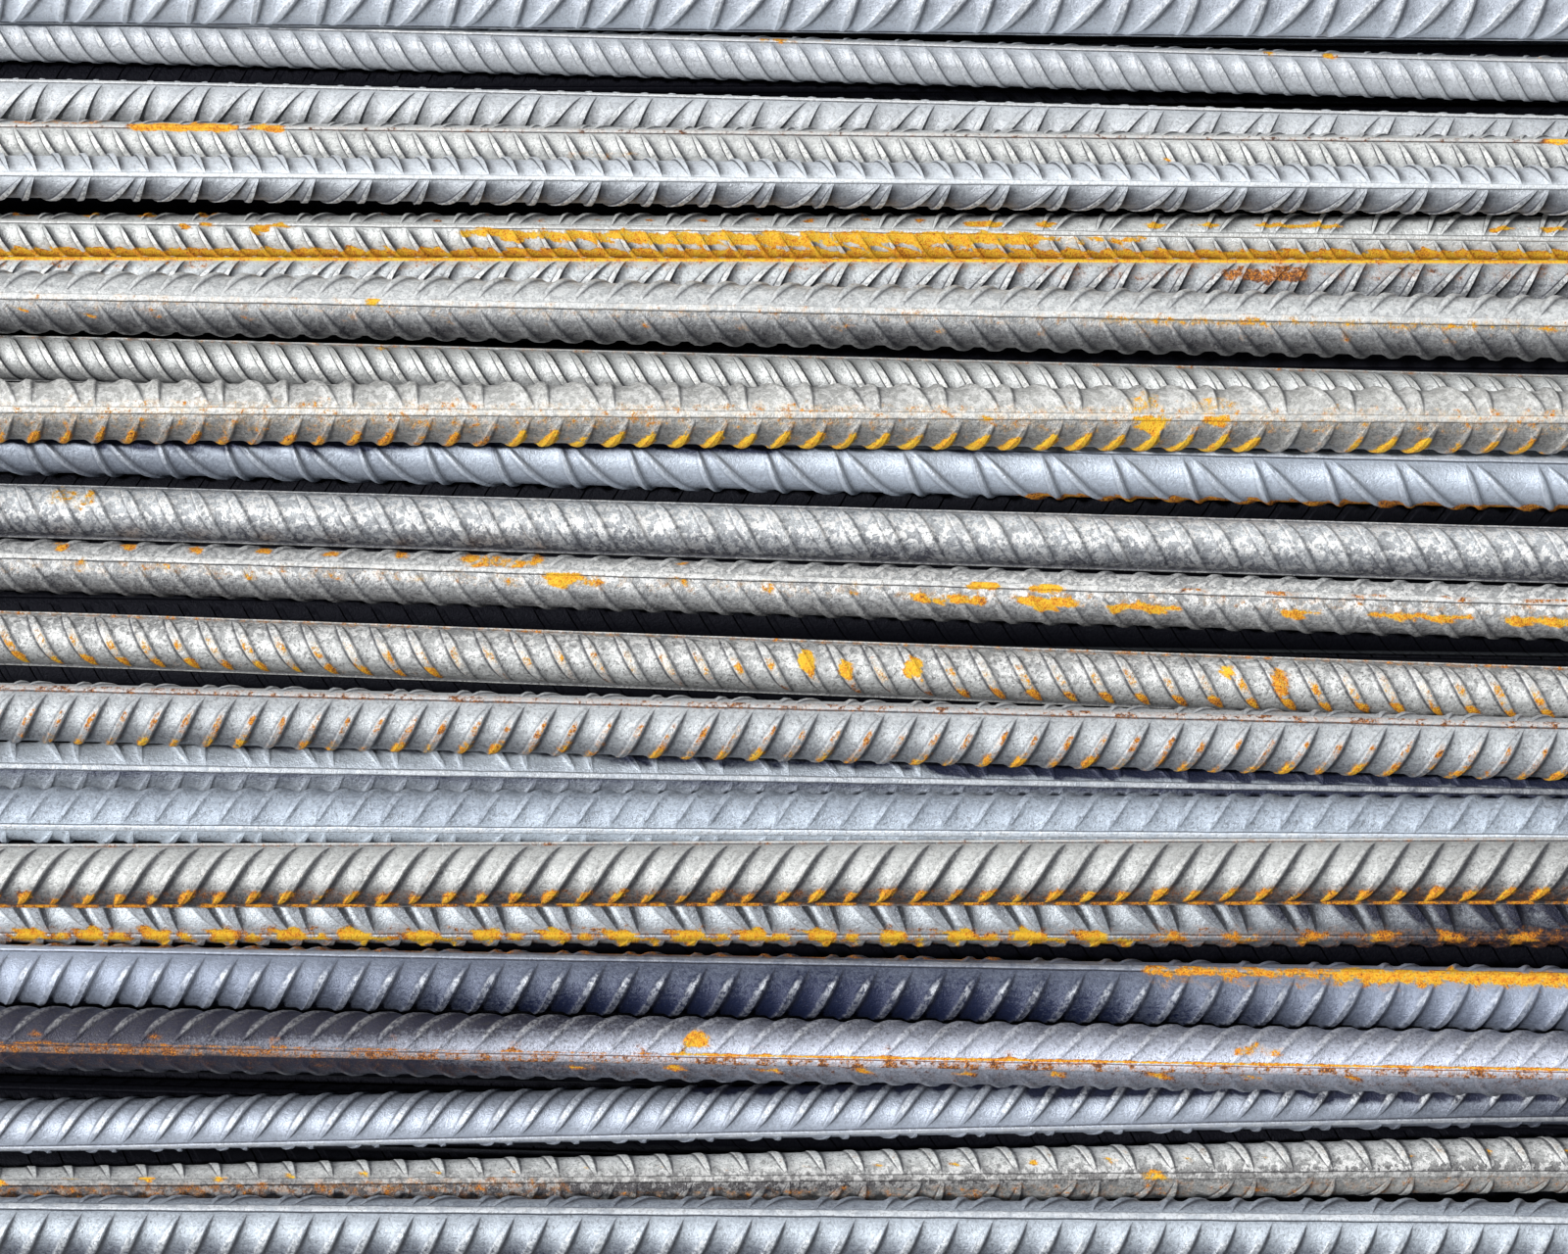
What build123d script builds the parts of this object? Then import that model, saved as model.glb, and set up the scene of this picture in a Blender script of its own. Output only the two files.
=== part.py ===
from build123d import *
import os
from math import cos, radians, sin, sqrt

# A flat bundle of reinforcing bars, tied with wire rod, lying on a level floor.
# X runs along the bars, Y across the bundle and Z up from the floor.
# The origin is on the floor, midway along the bars and midway across the straight layers.

# Stock sizes: nominal diameters and cut length
HEAVY = 16.0
MEDIUM = 14.0
LIGHT = 12.0
BAR_LENGTH = 6000.0
UNEVEN_END = 25.0

# Straight layers under the top bars, counted from the floor
LAYER_BAR = HEAVY
LAYER_COUNTS = (23, 24, 23)

# The surface ribs of two bars keep their round cores this far apart
RIB_ROOM = 0.7

# Wire rod ties
TIE_WIRE = 6.0
TIE_SEAT = 0.3
TIE_PLACES = (-1500.0, 1500.0)
TIE_SIDES = (30, 90, 150, 210, 270, 330)

# The twisted ends of a tie
KNOT_LENGTH = 45.0
KNOT_PITCH = 45.0
KNOT_ROOM = 1.0

# The top bars change lane over the middle of the bundle
CROSSING = 480.0

# Across the bundle: diameter, lane before and after the crossing, and turn of laying
TOP_BARS = (
    (HEAVY, 183.5, 183.5, 1),
    (HEAVY, 166.5, 158.5, 3),
    (LIGHT, 158.0, 143.0, 1),
    (LIGHT, 140.5, 127.0, 1),
    (LIGHT, 125.0, 119.0, 2),
    (LIGHT, 113.0, 108.5, 3),
    (LIGHT, 101.0, 101.0, 1),
    (LIGHT, 88.5, 88.5, 2),
    (HEAVY, 79.5, 72.5, 3),
    (LIGHT, 67.5, 57.0, 1),
    (HEAVY, 48.0, 48.0, 3),
    (HEAVY, 43.0, 35.5, 1),
    (MEDIUM, 25.0, 15.5, 1),
    (MEDIUM, 10.0, 0.5, 1),
    (MEDIUM, -9.5, -21.0, 1),
    (HEAVY, -31.5, -35.5, 3),
    (MEDIUM, -45.0, -45.0, 1),
    (MEDIUM, -59.5, -54.0, 2),
    (HEAVY, -77.0, -66.0, 3),
    (HEAVY, -85.0, -75.5, 1),
    (HEAVY, -100.5, -97.5, 2),
    (HEAVY, -117.5, -114.0, 3),
    (MEDIUM, -141.5, -120.0, 1),
    (MEDIUM, -159.0, -136.5, 1),
    (HEAVY, -166.5, -154.5, 2),
    (HEAVY, -182.5, -182.5, 1),
)

# Worked out from the sizes above
LAYER_PITCH = LAYER_BAR + RIB_ROOM
LAYER_RISE = LAYER_PITCH * sqrt(3) / 2
FIRST_HEIGHT = TIE_WIRE + TIE_SEAT + LAYER_BAR / 2
FLUSH_END = BAR_LENGTH / 2

os.makedirs("parts", exist_ok=True)


class Bar:
    """One bar: its diameter, its lanes before and after the crossing, its axis height."""

    def __init__(self, diameter, before, after, height=0.0):
        self.radius = diameter / 2
        self.before = before
        self.after = after
        self.height = height

    def least_distance_across(self, other):
        """Distance between the two axes across the bundle, where they come closest."""
        gap_before = self.before - other.before
        gap_after = self.after - other.after
        if gap_before * gap_after <= 0:
            return 0.0
        return min(abs(gap_before), abs(gap_after))

    def lie_on(self, others):
        """Come down until the ribs meet a bar that lies there already."""
        for other in others:
            reach = self.radius + other.radius + RIB_ROOM
            across = self.least_distance_across(other)
            if across < reach:
                self.height = max(self.height, other.height + sqrt(reach**2 - across**2))

    def lane(self, place):
        return self.before if place < 0 else self.after


def ragged_end(number):
    """How far a bar is cut over length, uneven from bar to bar."""
    return UNEVEN_END * ((number * 0.618) % 1.0)


def straight_layer(level, count):
    """A row of parallel bars, nested in the valleys of the row below."""
    height = FIRST_HEIGHT + level * LAYER_RISE
    lanes = [(index - (count - 1) / 2) * LAYER_PITCH for index in range(count)]
    return [Bar(LAYER_BAR, lane, lane, height) for lane in lanes]


def laid_top_bars(support):
    """Lay the top bars turn by turn, each on the bars that lie under it."""
    top = [Bar(diameter, before, after) for diameter, before, after, turn in TOP_BARS]
    turns = [row[3] for row in TOP_BARS]
    lying = list(support)
    for turn in sorted(set(turns)):
        for bar, own_turn in zip(top, turns):
            if own_turn == turn:
                bar.lie_on(lying)
                lying.append(bar)
    return top


def side_of_tie(bars, place, angle):
    """Direction and distance of the straight side of a tie that faces this angle."""
    across, up = cos(radians(angle)), sin(radians(angle))
    reach = max(bar.lane(place) * across + bar.height * up + bar.radius for bar in bars)
    return across, up, reach + TIE_SEAT + TIE_WIRE / 2


def corner_of_tie(side, next_side):
    """Where the wire's centre lines along two sides of a tie would meet."""
    a1, u1, r1 = side
    a2, u2, r2 = next_side
    cross = a1 * u2 - a2 * u1
    return (r1 * u2 - r2 * u1) / cross, (a1 * r2 - a2 * r1) / cross


layers = [straight_layer(level, count) for level, count in enumerate(LAYER_COUNTS)]
top_bars = laid_top_bars(layers[-1])
all_bars = sum(layers, top_bars)

# Straight layers, one node each, as bars that do not touch
for level, layer in enumerate(layers, start=1):
    with BuildPart() as layer_bars:
        for number, bar in enumerate(layer, start=level):
            with BuildSketch(Plane.YZ.offset(FLUSH_END)):
                with Locations((bar.before, bar.height)):
                    Circle(bar.radius)
            extrude(amount=-BAR_LENGTH - ragged_end(number))
    name = f"layer_{level}"
    layer_bars.part.label = name
    export_step(layer_bars.part, f"parts/{name}.step")

# Top bars, with slight bends where they leave one lane and enter the other
for number, bar in enumerate(top_bars, start=1):
    start = -FLUSH_END - ragged_end(number)
    with BuildPart() as top_bar:
        with BuildLine(Plane.XY.offset(bar.height)) as axis:
            if bar.before == bar.after:
                Line((start, bar.before), (FLUSH_END, bar.after))
            else:
                Polyline(
                    (start, bar.before),
                    (-CROSSING / 2, bar.before),
                    (CROSSING / 2, bar.after),
                    (FLUSH_END, bar.after),
                )
        with BuildSketch(Plane(axis.line @ 0, z_dir=axis.line % 0)):
            Circle(bar.radius)
        sweep(transition=Transition.RIGHT)
    name = f"bar_{number:02d}"
    top_bar.part.label = name
    export_step(top_bar.part, f"parts/{name}.step")

# Ties: a tight loop of wire rod, its two ends twisted together along the bundle's side
widest_layer = max(layers, key=lambda layer: layer[-1].before)
knot_height = widest_layer[-1].height
strand_offset = TIE_WIRE / 2 + KNOT_ROOM
knot_lane = widest_layer[-1].before + LAYER_BAR / 2 + TIE_SEAT + TIE_WIRE / 2 + strand_offset
for number, place in enumerate(TIE_PLACES, start=1):
    sides = [side_of_tie(all_bars, place, angle) for angle in TIE_SIDES]
    corners = [corner_of_tie(*pair) for pair in zip(sides, sides[1:] + sides[:1])]
    with BuildPart() as tie:
        with BuildLine(Plane.YZ.offset(place)) as loop:
            FilletPolyline(*corners, radius=LAYER_BAR / 2 + TIE_SEAT + TIE_WIRE / 2, close=True)
        with BuildSketch(Plane(loop.wire() @ 0, z_dir=loop.wire() % 0)):
            Circle(TIE_WIRE / 2)
        sweep(path=loop.wire())
        for strand in (1, -1):
            twist_axis = Plane((place, knot_lane, knot_height), x_dir=(0, 0, strand), z_dir=(1, 0, 0))
            with BuildLine(twist_axis) as coil:
                Helix(KNOT_PITCH, KNOT_LENGTH, strand_offset)
            with BuildSketch(Plane(coil.line @ 0, z_dir=coil.line % 0)):
                Circle(TIE_WIRE / 2)
            sweep(path=coil.line, is_frenet=True)
    name = f"tie_{number}"
    tie.part.label = name
    export_step(tie.part, f"parts/{name}.step")
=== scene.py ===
from dataclasses import dataclass
from math import atan2, cos, pi, radians, sin, tan

import bpy
import numpy as np
from mathutils import Matrix, Vector


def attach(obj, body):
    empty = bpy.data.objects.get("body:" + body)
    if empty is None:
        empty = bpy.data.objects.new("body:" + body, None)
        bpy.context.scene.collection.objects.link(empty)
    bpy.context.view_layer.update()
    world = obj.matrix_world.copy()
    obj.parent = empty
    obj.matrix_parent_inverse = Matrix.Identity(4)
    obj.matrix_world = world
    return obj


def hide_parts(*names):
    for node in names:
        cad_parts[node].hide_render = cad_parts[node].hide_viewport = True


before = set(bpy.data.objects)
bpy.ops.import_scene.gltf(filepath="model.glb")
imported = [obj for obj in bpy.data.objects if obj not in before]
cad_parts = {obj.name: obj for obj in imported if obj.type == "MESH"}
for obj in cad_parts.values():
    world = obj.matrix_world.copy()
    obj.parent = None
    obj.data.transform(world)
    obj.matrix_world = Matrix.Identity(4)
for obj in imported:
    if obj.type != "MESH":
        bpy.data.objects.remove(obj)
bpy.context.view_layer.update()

MM = 0.001

# Camera: distance to the top bars, its lean off the vertical, and the photograph's framing
AIM = Vector((0.0, -0.005, 0.06))
VIEW_DISTANCE = 0.9
VIEW_PITCH = radians(9.4)
VIEW_YAW = radians(5.6)
VIEW_ROLL = radians(1.63)
SENSOR = 36.0
PHOTO_WIDTH = 1600
PIXELS_PER_METRE = 3900
CLIP_START = 0.05
CLIP_END = 60.0
CAMERA_BACK = Vector((tan(VIEW_YAW), -tan(VIEW_PITCH), 1.0)).normalized()
CAMERA_PLACE = AIM + CAMERA_BACK * VIEW_DISTANCE

# Lights: strength, spread in degrees, and the direction that each comes from
KEY_LIGHT = (3.6, 5, (-0.72, -0.12, 1.0))
FILL_LIGHT = (1.6, 70, (0.1, 1.0, 0.75))
SKY_COLOUR = (0.66, 0.80, 1.0, 1.0)
SKY_STRENGTH = 0.10

FLOOR_REACH = 40.0
FLOOR_COLOUR = (0.78, 0.77, 0.75, 1.0)
FLOOR_ROUGHNESS = 0.9

# The stretch that is seen close up gets modelled ribs, the rest gets them as bump
CLOSE_FROM = -0.222
CLOSE_TO = 0.212

# How far a bend is eased to either side
BEND_EASE = 0.08

# What is shorter than this in a row of bars is the end face of one
SHORTEST_BAR = 1.0

# Stations along a bar outside the close stretch, in metres either side of the middle,
# and the step between those of a long rib inside it
OUTER_STATIONS = np.array([1.5, 0.9, 0.6, 0.45, 0.36, 0.28])
LONG_RIB_STEP = 0.003

# Points across a row of cross ribs, close up and elsewhere
ROW_POINTS_CLOSE = 17
ROW_POINTS_FAR = 9

# How much closer together such points are at the ends of the row
CROWDING = 0.25

# Outline of a cross rib: how its height and its width go down to its ends, and how narrow these are
RIB_ROUNDING = 0.8
HEIGHT_POWER = 2.6
WIDTH_POWER = 2.2
NARROW_END = 0.22

# Section of a cross rib: where its flank is between crest edge and foot, the levels of flank and edge,
# the share at the two feet of the flank's dirt and painted shade, and the least room between
# neighbouring points
FLANK_PLACE = 0.4
FLANK_LEVEL = 0.42
CREST_EDGE_LEVEL = 0.93
RIGHT_FOOT_SHADE = 0.45
LEFT_FOOT_SHADE = 0.3
LEAST_ROOM = 0.02 * MM

# How uneven the heights of the ribs are and how fast that changes along the bar,
# and the share of a row over which their dirt and painted shade fade
UNEVENNESS = 0.08
UNEVEN_STEP = 2.7
DIRT_AND_SHADE_FADE = 0.12

# A long rib is this much wider and deeper at its foot, in millimetres, and wanders by this share
LONG_RIB_FOOT = 0.25
LONG_RIB_DEPTH = 0.3
WANDER = 0.05
WANDER_WAVES = (310, 97)

# Rounded rim of a bar's sheared end: how far below the surface and before the end, in millimetres,
# its points round the bar, and how near to the axis the face reaches
RIM = ((0.0, 1.0), (0.2, 0.4), (0.9, 0.0))
RIM_POINTS = 25
FACE_MIDDLE = 0.01
END_FINISH = {"tone": 0.4, "tint": 0.5, "rust": 0.45, "brown": 0.8}

# Bars of the layers: turn from one to the next and from row to row, and how deeply painted shade
# darkens them
ROLL_STEP = 47.0
ROLL_STEP_OF_ROW = 31.0
INNER_PAINTED_SHADE = 0.99
OUTERMOST_PAINTED_SHADE = 0.2

# A patch of the finish that reaches so far, in millimetres, goes on to both ends of its bar
PATCH_FROM = -205
PATCH_TO = 200

# From end to end of the stretch that is seen, in millimetres
WHOLE = (-215, 205)

# How far the edges of a patch waver in a long and a short wave, how close these are,
# and from what breadth on a patch has them in full
LONG_WAVER = 0.06
SHORT_WAVER = 0.05
WAVER_WAVES = (0.55, 1.3)
BROAD_PATCH = 0.5

# Softness of a patch, along the bar in millimetres and across it as a share of the radius,
# and where in that softness its edge begins and ends
PATCH_SOFT = 4.0
PATCH_SOFT_ACROSS = 0.22
PATCH_EDGE = (0.5, 1.45)

# The finish: height on a rib where rust, tone, and wear with painted glint set in and where they are
# full
RUST_HEIGHT = (0.4, 0.9)
TONE_HEIGHT = (0.3, 0.8)
WEAR_AND_GLINT_HEIGHT = (0.55, 0.9)
TIP_HEIGHT = (0.1, 0.6)

# The finish across a bar, from -1 at the far side to 1 at the near one
TIP_ZONE = (0.25, 0.8)
# The three tones across a bar paint its shading from the far side to the near one
TONE_PLACES = (-0.7, 0.1, 0.8)
PALE_ZONE = (0.5, -0.1)

# The finish up a bar, from -1 at its underside to 1 at its top: where painted shade comes in and rust
# ends
PAINTED_SHADE_ZONE = (-0.3, 0.3)
TURNED_AWAY = -0.2

# What is left of rust on tips, of wear with painted glint and of paleness outside their zones
LEAST_TIP = 0.3
LEAST_GLINT = 0.2
LEAST_PALE = 0.25

# How rust on tips changes from one to the next: middle, swing and waves
TIP_RUST = 0.8
TIP_RUST_SWING = 0.3
TIP_RUST_WAVES = (0.47, 0.19)

# Steel in its darkest and lightest tone, bluish and warm, with a bluish film, and bright with wear and
# painted glint
COLD_DARK = (0.012, 0.02, 0.06, 1.0)
COLD_LIGHT = (0.76, 0.855, 0.96, 1.0)
WARM_DARK = (0.06, 0.05, 0.04, 1.0)
WARM_LIGHT = (0.93, 0.91, 0.83, 1.0)
DUSK_COLOUR = (0.75, 0.77, 1.0, 1.0)
WEAR_AND_GLINT_COLD = (0.88, 0.91, 0.95, 1.0)
WEAR_AND_GLINT_WARM = (0.93, 0.90, 0.82, 1.0)

# What lies on the steel: flaking scale, pits, dirt with painted shade beside the ribs, painted deep
# shade, and rust
FLAKE_COLOUR = (0.95, 0.94, 0.92, 1.0)
HOLLOW_COLOUR = (0.25, 0.24, 0.24, 1.0)
PIT_COLOUR = (0.07, 0.065, 0.06, 1.0)
DIRT_AND_SHADE_COLOUR = (0.02, 0.02, 0.03, 1.0)
PAINTED_SHADE_COLOUR = (0.004, 0.004, 0.007, 1.0)
RUST_COLOURS = ((0.93, 0.58, 0.035, 1.0), (0.80, 0.27, 0.015, 1.0), (0.12, 0.05, 0.03, 1.0))

# Noises of the steel: cells a metre, detail and roughness
NOISES = {
    "broad": (70.0, 4.0, 0.55),
    "cloud": (330.0, 5.0, 0.65),
    "chips": (480.0, 4.0, 0.65),
    "fine": (1000.0, 4.0, 0.65),
    "speck": (1250.0, 2.0, 0.5),
    "grain": (2400.0, 2.0, 0.6),
}
STREAK = (1500.0, 3.0, 0.6)
STREAK_STRETCH = (0.06, 1.0, 1.0)

# Steps of the finish: the levels where each sets in and is full, and the amounts there if not 0 and 1
STEPS = {
    "flakes": (0.50, 0.52), "hollows": (0.50, 0.44), "bright": (0.36, 0.60, 0.1, 1.0),
    "chalk": (0.35, 0.6, 0.3, 1.0), "crowded": (0.4, 0.6, 0.4, 1.0), "pits": (0.57, 0.60),
    "ragged": (0.25, 0.5, 0.45, 1.0), "dirt": (0.1, 0.75), "rust": (-0.03, 0.05),
    "stain": (-0.14, 0.02, 0.0, 0.5), "dull": (0.3, 0.7, 0.40, 0.56), "cross": (0.36, 0.42),
    "row": (0.30, 0.44, 1.0, 0.0), "wire": (0.42, 0.58),
}

# Share of each noise in the mottling, its strength without grit, and what grit adds
MOTTLING = {"broad": 0.7, "streak": 0.35, "grain": 0.7, "fine": 1.0}
PLAIN_MOTTLING = 0.26
GRIT_MOTTLING = 0.95

# How far flakes, hollows between them, dirt with painted shade and the stain round rust cover the steel
FLAKE_COVER = 0.9
HOLLOW_COVER = 0.45
DIRT_AND_SHADE_COVER = 0.85
STAIN_COVER = 0.5

# Rust: shares of the cloud and fine noises in its edge, the level where it begins, how much its
# strength lowers that, and how far each noise moves it between golden and brown
RUST_EDGE = (0.6, 0.4)
RUST_LEVEL = 0.84
RUST_LOWERING = 0.6
GRAIN_IN_RUST = 2.0
FINE_IN_RUST = 1.6
CLOUD_IN_RUST = 1.6

# Steel: share that shows as metal, gloss of the bars darkened with painted shade, change of roughness
# where bright and where rusty, and depth and strength of the bump
METAL_SHARE = 0.35
PAINTED_SHADE_GLOSS = 0.05
BRIGHT_ROUGHNESS = -0.1
RUST_ROUGHNESS = 0.35
BUMP_DEPTH = 1.0 * MM
BUMP_STRENGTH = 0.8

# Wire of the ties: bare, rusty, and the depth of its bump
WIRE_BARE = (0.20, 0.19, 0.19, 1.0)
WIRE_RUSTY = (0.30, 0.12, 0.05, 1.0)
WIRE_BUMP = 0.2 * MM


@dataclass
class Stock:
    """Section of one size of ribbed bar, in millimetres."""

    core: float
    rib: float
    reach: float
    foot: float
    crest: float
    seam: float
    seam_height: float


# Sections by the nominal radius in millimetres.
# Reach is how far a cross rib goes to either side of its middle, as a share of a half turn.
STOCK = {
    6: Stock(core=5.65, rib=0.80, reach=0.455, foot=1.22, crest=0.72, seam=1.3, seam_height=0.55),
    7: Stock(core=6.60, rib=0.92, reach=0.430, foot=2.05, crest=0.72, seam=1.6, seam_height=0.65),
    8: Stock(core=7.50, rib=1.05, reach=0.410, foot=2.35, crest=0.68, seam=1.8, seam_height=0.75),
}

# How far a rib leans over from the bar's axis, as the cotangent of its angle
EVEN = (0.58, 0.58)
PAIRED = (0.30, 0.76)


@dataclass
class Look:
    """What one bar shows: how it is rolled, its two rows of ribs, and its finish."""

    seam: float = 20.0
    twist: float = 0.0
    upper: str = "/"
    lower: str = "/"
    leans: tuple = ((), ())
    spacing: float = 8.7
    shift: tuple = (0.0, 0.0)
    broad: float = 1.0
    proud: float = 1.0
    drop: float = 0.0
    tone: tuple = (0.6, 0.6, 0.6)
    tint: float = 0.5
    dusk: float = 0.0
    pale: tuple = (0.0, 0.0)
    cream: float = 0.5
    wear_and_glint: float = 0.7
    glint: tuple = (0.0, 0.5)
    crest_tone: float = 0.0
    lines: tuple = (0.6, 0.2)
    grit: float = 0.4
    crests: tuple = (0.0, 0.3)
    seam_rust: tuple = (0.0, 0.4)
    tips: tuple = ()
    rust: tuple = ()
    scale: tuple = ()
    shades: tuple = ()
    painted_shade: float = 0.0


def spots(first, last, every, length, *rest):
    """A row of like rust patches."""
    return tuple((x, x + length, *rest) for x in np.arange(first, last, every))
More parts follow.
